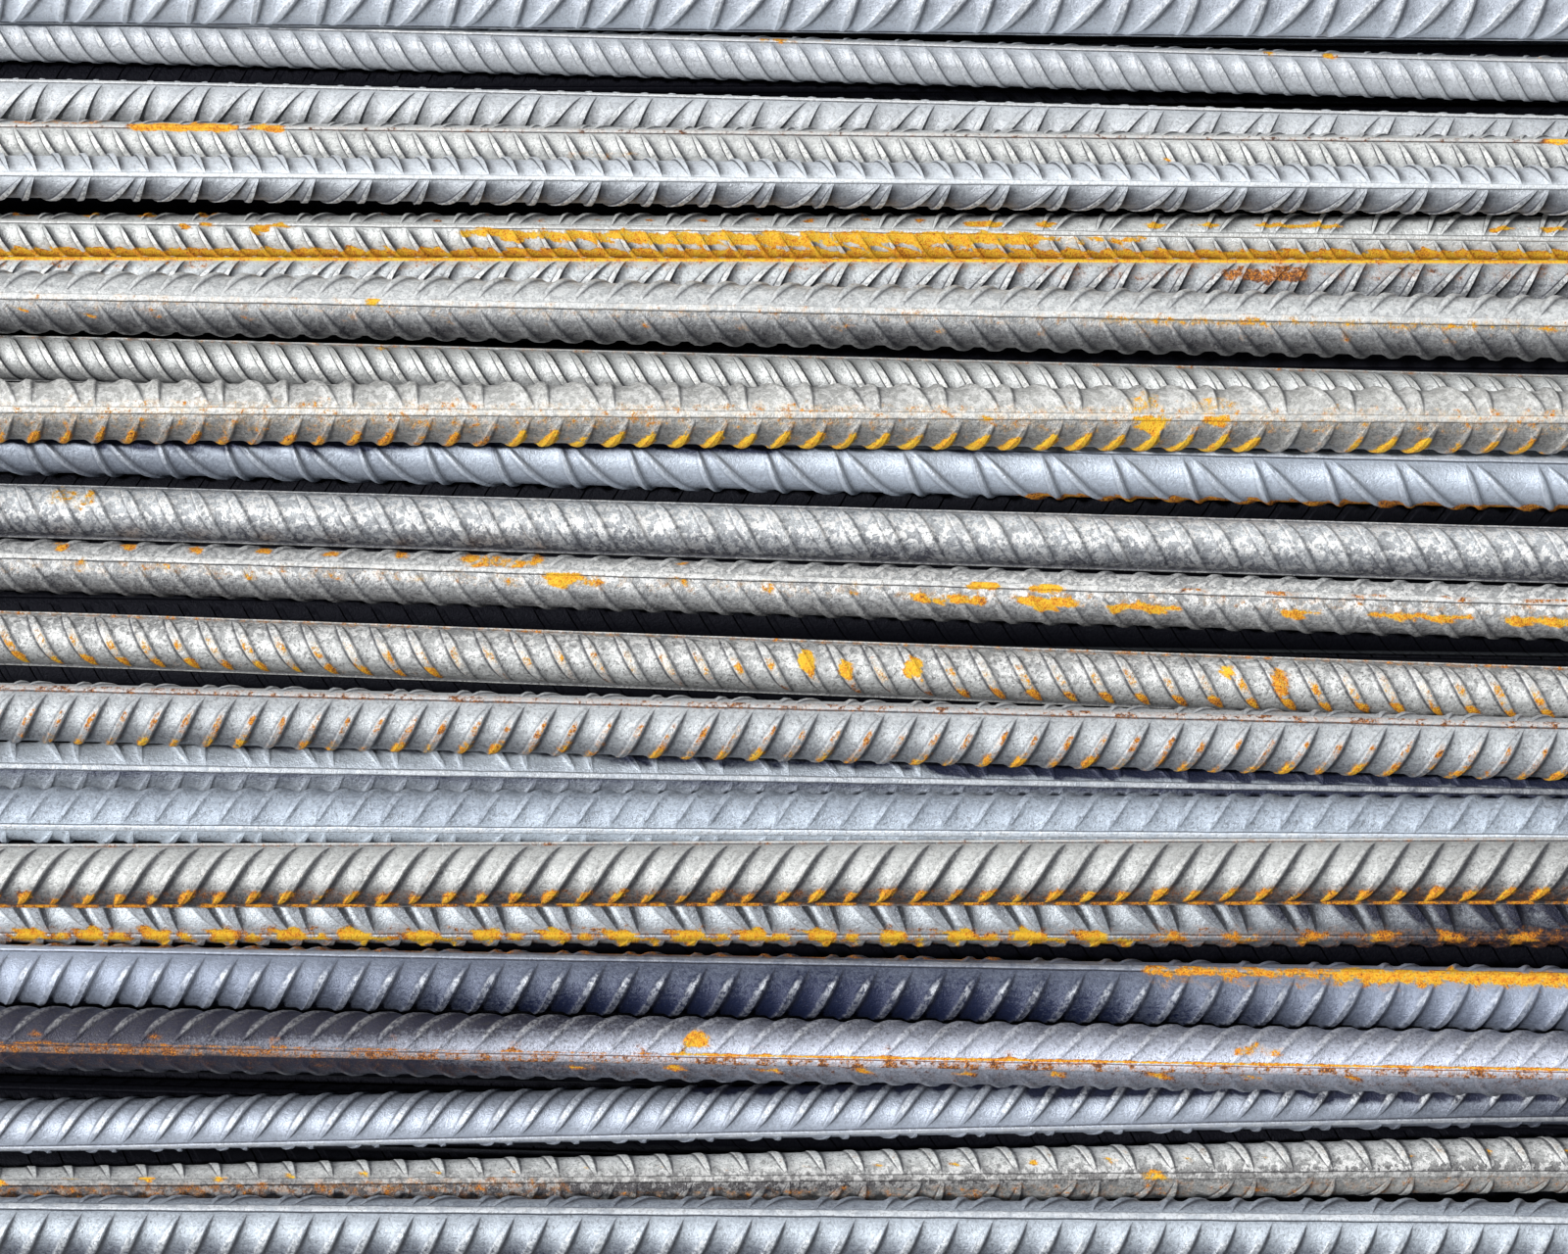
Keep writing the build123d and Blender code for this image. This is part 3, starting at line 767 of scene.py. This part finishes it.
def modelled_ribs(look, stock, sign, leans, shift, v, arc):
    """Stations along a bar, their heights on the ribs, how dark they are, and which are edges."""
    spacing = look.spacing * MM
    ribs = np.arange(int(CLOSE_FROM / spacing) - 1, int(CLOSE_TO / spacing) + 2)
    lean = np.where(ribs % 2 == 0, leans[0], leans[1])
    centre = (ribs * spacing + shift * MM)[:, None] + sign * lean[:, None] * arc[None, :]
    stretch = np.sqrt(1 + lean**2)[:, None]
    from_middle = np.minimum(np.abs(v - 0.5) / stock.reach, 1.0)
    crescent = (1 - from_middle**HEIGHT_POWER) ** RIB_ROUNDING
    waist = (1 - from_middle**WIDTH_POWER) ** RIB_ROUNDING
    width = (NARROW_END + (1 - NARROW_END) * waist)[None, :] * stretch * MM
    foot = (stock.foot + (look.broad - 1) * stock.crest) * width
    crest = look.broad * stock.crest * width
    rib, next_rib = centre[:-1], centre[1:]
    after, before = rib + foot[:-1], next_rib - foot[1:]
    middle = (after + before) / 2
    after = np.minimum(after, middle - LEAST_ROOM)
    before = np.maximum(before, middle + LEAST_ROOM)
    edge = np.minimum(rib + crest[:-1], after - LEAST_ROOM)
    next_edge = np.maximum(next_rib - crest[1:], before + LEAST_ROOM)
    flank = edge + FLANK_PLACE * (after - edge)
    next_flank = next_edge + FLANK_PLACE * (before - next_edge)
    right, left = look.lines
    # Place along the bar, level, darkness of dirt with painted shade, and whether the point is a crest
    # edge
    section = [
        (rib, 1.0, 0.0, False),
        (edge, CREST_EDGE_LEVEL, 0.0, True),
        (flank, FLANK_LEVEL, right, False),
        (after, 0.0, RIGHT_FOOT_SHADE * right, False),
        (middle, 0.0, 0.0, False),
        (before, 0.0, LEFT_FOOT_SHADE * left, False),
        (next_flank, FLANK_LEVEL, left, False),
        (next_edge, CREST_EDGE_LEVEL, 0.0, True),
    ]
    parts, levels, shades, crest_edges = zip(*section)
    x = np.stack(parts, axis=1).reshape(-1, len(v))
    uneven = np.repeat(1 + UNEVENNESS * np.sin(ribs[:-1] * UNEVEN_STEP + look.seam), len(section))
    level = (np.tile(levels, len(rib)) * uneven)[:, None] * crescent[None, :]
    return x, level, np.tile(shades, len(rib)), np.tile(crest_edges, len(rib))


def leans_of(look, lower):
    """The two cotangents at which the ribs of one row lean."""
    if look.leans[lower]:
        return look.leans[lower]
    slant = look.lower if lower else look.upper
    return PAIRED if len(slant) == 2 else EVEN


def rib_shell(builder, line, look, lower, close):
    """Half of a bar's surface, between its two long ribs, with one row of cross ribs."""
    stock = line.stock
    slant = look.lower if lower else look.upper
    leans = leans_of(look, lower)
    sign = 1.0 if (slant[0] == "/") != lower else -1.0
    under_seam = (stock.seam / 2 - LONG_RIB_FOOT) / (pi * stock.core)
    row_points = ROW_POINTS_CLOSE if close else ROW_POINTS_FAR
    v = under_seam + (1 - 2 * under_seam) * rib_rows(row_points)
    arc = (v - 0.5) * pi * stock.core * MM
    low = np.concatenate([[line.start + MM], -OUTER_STATIONS])
    high = np.concatenate([OUTER_STATIONS[::-1], [line.end - MM]])
    flat_low = np.repeat(low[:, None], len(v), axis=1)
    flat_high = np.repeat(high[:, None], len(v), axis=1)
    if close:
        shift = look.shift[lower]
        x_close, level, shaded, edges = modelled_ribs(look, stock, sign, leans, shift, v, arc)
    else:
        x_close = level = flat_low[:0]
        shaded = edges = low[:0]
    none = np.zeros(len(low))
    x = np.concatenate([flat_low, x_close, flat_high])
    relief = np.concatenate([0 * flat_low, level, 0 * flat_high])
    flanks = np.concatenate([none, shaded, none])[:, None]
    creases = np.concatenate([none, edges, none]) > 0
    far = np.concatenate([0 * flat_low + 1, 0 * x_close, 0 * flat_high + 1])
    direction = 1.0 if lower else -1.0
    angle = seam_angle(look, x) + direction * pi * v[None, :]
    points = line.at(x, angle, (stock.core + look.proud * stock.rib * relief) * MM)
    u = (x - sign * sum(leans) / 2 * arc[None, :]) / (look.spacing * MM)
    uv = np.stack([u, np.broadcast_to(v, u.shape)], axis=-1)
    # Dirt and painted shade on the rib flanks fade towards the ends of a row
    fading = np.clip((0.5 - np.abs(v - 0.5)) / DIRT_AND_SHADE_FADE, 0.0, 1.0)
    values = finish_values(line, look, x, angle, relief, drop=look.drop if lower else 0.0)
    builder.grid(points, uv, outward=lower, creases=creases, far=far, dirt=flanks * fading, **values)


def long_rib(builder, line, look, opposite, close):
    """One of the two ribs that run the whole length of a bar."""
    stock = line.stock
    half = stock.seam / 2
    rise = stock.seam_height
    # Place across the rib, height, share of the crest's finish, and dirt with painted shade
    flank = [
        (half + LONG_RIB_FOOT, -LONG_RIB_DEPTH, 0.0, 0.9),
        (half, 0.3 * rise, 0.2, 0.8),
        (half - 0.12, 0.9 * rise, 0.9, 0.0),
        (half - 0.4, rise, 1.0, 0.0),
    ]
    profile = [(-place, *rest) for place, *rest in flank] + flank[::-1]
    side, height, relief, dirt = np.array(profile).T
    nearest = OUTER_STATIONS[-1]
    inner = np.arange(-nearest, nearest, LONG_RIB_STEP) if close else np.array([-nearest, nearest])
    outer = OUTER_STATIONS[:-1]
    x = np.concatenate([[line.start + MM], -outer, inner, outer[::-1], [line.end - MM]])
    x = np.repeat(x[:, None], len(profile), axis=1)
    fast, slow = WANDER_WAVES
    wander = WANDER * np.sin(x * fast + look.seam) * np.sin(x * slow)
    turned = side[None, :] / stock.core * (1 + 2 * wander)
    angle = seam_angle(look, x) + (pi if opposite else 0.0) + turned
    points = line.at(x, angle, (stock.core + height[None, :] * (1 + wander)) * MM)
    values = finish_values(line, look, x, angle, np.broadcast_to(relief, x.shape), on_seam=True)
    builder.grid(points, np.zeros((*x.shape, 2)), outward=True, dirt=dirt, **values)


def end_cap(builder, line, place, direction):
    """The sheared end of a bar, with a slightly rounded rim."""
    core = line.stock.core
    sunk, inset = np.array([*RIM, (core - FACE_MIDDLE, 0.0)]).T[:, :, None]
    angle = np.linspace(0, 2 * pi, RIM_POINTS)[None, :] + 0 * sunk
    x = place - direction * inset * MM + 0 * angle
    points = line.at(x, angle, (core - sunk) * MM + 0 * angle)
    builder.grid(points, np.zeros((*x.shape, 2)), outward=direction < 0, **END_FINISH)


def add_bar(builder, line, look, close):
    for lower in (False, True):
        rib_shell(builder, line, look, lower, close)
    for opposite in (False, True):
        long_rib(builder, line, look, opposite, close)
    end_cap(builder, line, line.start, -1)
    end_cap(builder, line, line.end, 1)


class Nodes:
    """Short calls for building a material's node tree."""

    def __init__(self, name):
        self.material = bpy.data.materials.new(name)
        self.material.use_nodes = True
        self.tree = self.material.node_tree
        self.shader = self.tree.nodes["Principled BSDF"]

    def add(self, kind, inputs=(), **settings):
        node = self.tree.nodes.new(kind)
        for key, value in settings.items():
            setattr(node, key, value)
        for key, value in dict(inputs).items():
            self.set(node.inputs[key], value)
        return node

    def set(self, socket, value):
        if isinstance(value, bpy.types.NodeSocket):
            self.tree.links.new(value, socket)
        else:
            socket.default_value = value

    def shade(self, **inputs):
        """Set inputs of the shader, their names written with an underscore for a space."""
        for key, value in inputs.items():
            self.set(self.shader.inputs[key.replace("_", " ")], value)

    def math(self, operation, a, b=0.0, c=0.0, clamp=False):
        node = self.add("ShaderNodeMath", {0: a, 1: b, 2: c}, operation=operation, use_clamp=clamp)
        return node.outputs[0]

    def swing(self, noise, amount, base, clamp=False):
        """The base, moved up and down by a noise."""
        return self.math("MULTIPLY_ADD", self.math("SUBTRACT", noise, 0.5), amount, base, clamp)

    def mix(self, factor, a, b, blend="MIX"):
        node = self.add("ShaderNodeMix", {0: factor, 6: a, 7: b}, data_type="RGBA", blend_type=blend)
        return node.outputs[2]

    def step(self, value, low, high, out_low=0.0, out_high=1.0):
        node = self.add("ShaderNodeMapRange", {0: value, 1: low, 2: high, 3: out_low, 4: out_high},
                        interpolation_type="SMOOTHSTEP")
        return node.outputs[0]

    def value(self, name):
        return self.add("ShaderNodeAttribute", attribute_name=name).outputs["Fac"]

    def noise(self, vector, scale, detail, roughness):
        inputs = {"Vector": vector, "Scale": scale, "Detail": detail, "Roughness": roughness}
        return self.add("ShaderNodeTexNoise", inputs).outputs["Fac"]

    def bump(self, height, distance, strength):
        inputs = {"Height": height, "Distance": distance, "Strength": strength}
        return self.add("ShaderNodeBump", inputs).outputs["Normal"]


def steel_noises(n):
    """The noises that a bar's steel is made of, by name."""
    place = n.add("ShaderNodeTexCoord").outputs["Object"]
    along = n.add("ShaderNodeMapping", {"Vector": place, "Scale": STREAK_STRETCH}).outputs["Vector"]
    noises = {name: n.noise(place, *settings) for name, settings in NOISES.items()}
    noises["streak"] = n.noise(along, *STREAK)
    return noises


def mottled_steel(n, noise):
    """Mill-scaled steel, darker and lighter in patches, between bluish and warm."""
    mottle = 0.0
    for name, amount in MOTTLING.items():
        mottle = n.swing(noise[name], amount, mottle)
    rough = n.math("MULTIPLY_ADD", n.value("grit"), GRIT_MOTTLING, PLAIN_MOTTLING)
    shade = n.math("MULTIPLY_ADD", mottle, rough, n.value("tone"), clamp=True)
    cold = n.mix(shade, COLD_DARK, COLD_LIGHT)
    warm = n.mix(shade, WARM_DARK, WARM_LIGHT)
    steel = n.mix(n.value("tint"), cold, warm)
    return n.mix(n.value("dusk"), steel, DUSK_COLOUR, blend="MULTIPLY")


def flaking_scale(n, noise, steel):
    """Pale flakes with darker hollows between them."""
    pale = n.value("pale")
    flakes = n.math("MULTIPLY", n.step(noise["chips"], *STEPS["flakes"]), pale)
    hollows = n.math("MULTIPLY", n.step(noise["chips"], *STEPS["hollows"]), pale)
    steel = n.mix(n.math("MULTIPLY", hollows, HOLLOW_COVER), steel, HOLLOW_COLOUR)
    steel = n.mix(n.math("MULTIPLY", flakes, FLAKE_COVER), steel, FLAKE_COLOUR)
    return steel, flakes


def worn_and_glinting_steel(n, noise, steel):
    """Rib crests bright with wear and a painted glint, and chalky long ribs."""
    white = n.mix(n.value("tint"), WEAR_AND_GLINT_COLD, WEAR_AND_GLINT_WARM)
    bright = n.math("MULTIPLY", n.value("wear_and_glint"), n.step(noise["fine"], *STEPS["bright"]))
    chalk = n.math("MULTIPLY", n.value("cream"), n.step(noise["cloud"], *STEPS["chalk"]))
    steel = n.mix(bright, steel, white)
    return n.mix(chalk, steel, white), bright


def dirty_steel(n, noise, steel):
    """Dark pits, and dirt with painted shade along the flanks of the ribs."""
    crowded = n.math("MULTIPLY", n.value("grit"), n.step(noise["cloud"], *STEPS["crowded"]))
    pits = n.math("MULTIPLY", n.step(noise["speck"], *STEPS["pits"]), crowded)
    steel = n.mix(pits, steel, PIT_COLOUR)
    ragged = n.step(noise["fine"], *STEPS["ragged"])
    dirt = n.math("MULTIPLY", n.step(n.value("dirt"), *STEPS["dirt"]), ragged)
    return n.mix(dirt, steel, n.mix(DIRT_AND_SHADE_COVER, steel, DIRT_AND_SHADE_COLOUR)), pits


def rusty_steel(n, noise, steel):
    """Ragged rust from golden to brown, with a stain round it."""
    cloud, fine = noise["cloud"], noise["fine"]
    broad_part, fine_part = RUST_EDGE
    edge = n.math("ADD", n.math("MULTIPLY", cloud, broad_part), n.math("MULTIPLY", fine, fine_part))
    threshold = n.math("SUBTRACT", RUST_LEVEL, n.math("MULTIPLY", n.value("rust"), RUST_LOWERING))
    over = n.math("SUBTRACT", edge, threshold)
    mask = n.step(over, *STEPS["rust"])
    stain = n.step(over, *STEPS["stain"])
    depth = n.swing(noise["grain"], GRAIN_IN_RUST, n.value("brown"))
    depth = n.swing(fine, FINE_IN_RUST, depth)
    depth = n.swing(cloud, CLOUD_IN_RUST, depth, clamp=True)
    scale = n.add("ShaderNodeValToRGB", {"Fac": depth})
    ends = scale.color_ramp.elements
    middle = ends.new(0.5)
    for element, colour in zip((ends[0], middle, ends[2]), RUST_COLOURS):
        element.color = colour
    rust = scale.outputs["Color"]
    steel = n.mix(stain, steel, n.mix(STAIN_COVER, steel, rust))
    return n.mix(mask, steel, rust), mask


def distant_ribs(n):
    """Cross ribs as bump, where they are not modelled."""
    uv = n.add("ShaderNodeUVMap", uv_map="ribs").outputs["UV"]
    split = n.add("ShaderNodeSeparateXYZ", {"Vector": uv})
    offset = n.math("ABSOLUTE", n.math("SUBTRACT", n.math("FRACT", split.outputs["X"]), 0.5))
    cross = n.step(offset, *STEPS["cross"])
    from_middle = n.math("ABSOLUTE", n.math("SUBTRACT", split.outputs["Y"], 0.5))
    row = n.step(from_middle, *STEPS["row"])
    return n.math("MULTIPLY", n.math("MULTIPLY", cross, row), n.value("far"))


def bar_steel(name, with_painted_shade=False):
    """The steel of a bar, with its finish where the points say so."""
    n = Nodes(name)
    noise = steel_noises(n)
    steel = mottled_steel(n, noise)
    steel, flakes = flaking_scale(n, noise, steel)
    steel, bright = worn_and_glinting_steel(n, noise, steel)
    steel, pits = dirty_steel(n, noise, steel)
    # Painted shade for the layer bars that are seen in the gaps between the top bars
    if with_painted_shade:
        steel = n.mix(n.value("painted_shade"), steel, PAINTED_SHADE_COLOUR)
        n.shade(Specular_IOR_Level=PAINTED_SHADE_GLOSS)
    colour, mask = rusty_steel(n, noise, steel)
    dull = n.step(noise["fine"], *STEPS["dull"])
    dull = n.math("MULTIPLY_ADD", bright, BRIGHT_ROUGHNESS, dull)
    n.shade(
        Base_Color=colour,
        Metallic=n.math("MULTIPLY", n.math("SUBTRACT", 1.0, mask), METAL_SHARE),
        Roughness=n.math("MULTIPLY_ADD", mask, RUST_ROUGHNESS, dull),
    )
    crust = n.math("MULTIPLY", mask, noise["grain"])
    height = distant_ribs(n)
    for part, amount in ((noise["fine"], 0.28), (noise["grain"], 0.20), (crust, 0.25),
                         (pits, -0.06), (flakes, 0.08)):
        height = n.math("MULTIPLY_ADD", part, amount, height)
    n.shade(Normal=n.bump(height, BUMP_DEPTH, BUMP_STRENGTH))
    return n.material


def wire_steel():
    """Plain wire rod with a brown film of rust."""
    n = Nodes("tie_wire")
    place = n.add("ShaderNodeTexCoord").outputs["Object"]
    broad = n.noise(place, 60.0, 4.0, 0.55)
    fine = n.noise(place, 1400.0, 3.0, 0.6)
    film = n.math("ADD", n.math("MULTIPLY", broad, 0.6), n.math("MULTIPLY", fine, 0.4))
    rusty = n.step(film, *STEPS["wire"])
    n.shade(
        Base_Color=n.mix(rusty, WIRE_BARE, WIRE_RUSTY),
        Metallic=n.math("MULTIPLY_ADD", rusty, -0.5, 0.6),
        Roughness=n.step(rusty, 0.0, 1.0, 0.45, 0.85),
        Normal=n.bump(fine, WIRE_BUMP, 0.6),
    )
    return n.material


def place_camera():
    data = bpy.data.cameras.new("camera")
    camera = bpy.data.objects.new("camera", data)
    bpy.context.scene.collection.objects.link(camera)
    up = (Vector((0, 1, 0)) - CAMERA_BACK * CAMERA_BACK.y).normalized()
    right = up.cross(CAMERA_BACK)
    turned_right = right * cos(VIEW_ROLL) + up * sin(VIEW_ROLL)
    turned_up = up * cos(VIEW_ROLL) - right * sin(VIEW_ROLL)
    turn = Matrix((turned_right, turned_up, CAMERA_BACK)).transposed()
    camera.matrix_world = Matrix.Translation(CAMERA_PLACE) @ turn.to_4x4()
    data.sensor_width = SENSOR
    data.lens = VIEW_DISTANCE * PIXELS_PER_METRE / PHOTO_WIDTH * SENSOR
    data.clip_start = CLIP_START
    data.clip_end = CLIP_END
    bpy.context.scene.camera = camera


def sun(name, energy, spread, direction):
    data = bpy.data.lights.new(name, "SUN")
    data.energy = energy
    data.angle = radians(spread)
    lamp = bpy.data.objects.new(name, data)
    lamp.rotation_euler = Vector(direction).to_track_quat("Z", "Y").to_euler()
    bpy.context.scene.collection.objects.link(lamp)


def place_lights():
    """A key from the left, a broad fill from the far side, and a little cool light all round."""
    sun("key", *KEY_LIGHT)
    sun("fill", *FILL_LIGHT)
    world = bpy.data.worlds.new("world")
    world.use_nodes = True
    background = world.node_tree.nodes["Background"]
    background.inputs["Color"].default_value = SKY_COLOUR
    background.inputs["Strength"].default_value = SKY_STRENGTH
    bpy.context.scene.world = world


def place_floor():
    mesh = bpy.data.meshes.new("floor")
    low, high = -FLOOR_REACH, FLOOR_REACH
    corners = [(low, low, 0), (high, low, 0), (high, high, 0), (low, high, 0)]
    mesh.from_pydata(corners, [], [(0, 1, 2, 3)])
    floor = bpy.data.objects.new("floor", mesh)
    bpy.context.scene.collection.objects.link(floor)
    n = Nodes("floor")
    n.shade(Base_Color=FLOOR_COLOUR, Roughness=FLOOR_ROUGHNESS)
    mesh.materials.append(n.material)


def layer_look(level, number, count):
    """Bars of a layer lie turned every way, and all but the outermost ones are darkened with painted
    shade.
    """
    roll = (number * ROLL_STEP + level * ROLL_STEP_OF_ROW) % 180
    tone = 0.35 + 0.2 * sin(number * 2.3 + level)
    painted_shade = OUTERMOST_PAINTED_SHADE if number in (0, count - 1) else INNER_PAINTED_SHADE
    tones = (tone, tone, tone)
    return Look(seam=roll, lower="\\", spacing=8.8, tone=tones, tint=0.2, cream=0.1, painted_shade=painted_shade)


place_camera()
place_lights()
place_floor()

top_steel = bar_steel("top_bars")
for node, look in LOOKS.items():
    builder = Builder()
    add_bar(builder, Line(node_points(node)), look, close=True)
    piece = builder.piece(f"{node}_ribbed", top_steel)
    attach(piece, "root")
    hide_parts(node)

layer_steel = bar_steel("layer_bars", with_painted_shade=True)
for level in (1, 2, 3):
    node = f"layer_{level}"
    builder = Builder()
    lines = lines_in(node)
    for number, line in enumerate(lines):
        add_bar(builder, line, layer_look(level, number, len(lines)), close=False)
    piece = builder.piece(f"{node}_ribbed", layer_steel)
    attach(piece, "root")
    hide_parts(node)

wire = wire_steel()
for node in ("tie_1", "tie_2"):
    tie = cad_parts[node]
    tie.data.materials.clear()
    tie.data.materials.append(wire)

bpy.context.scene.view_settings.view_transform = "Standard"
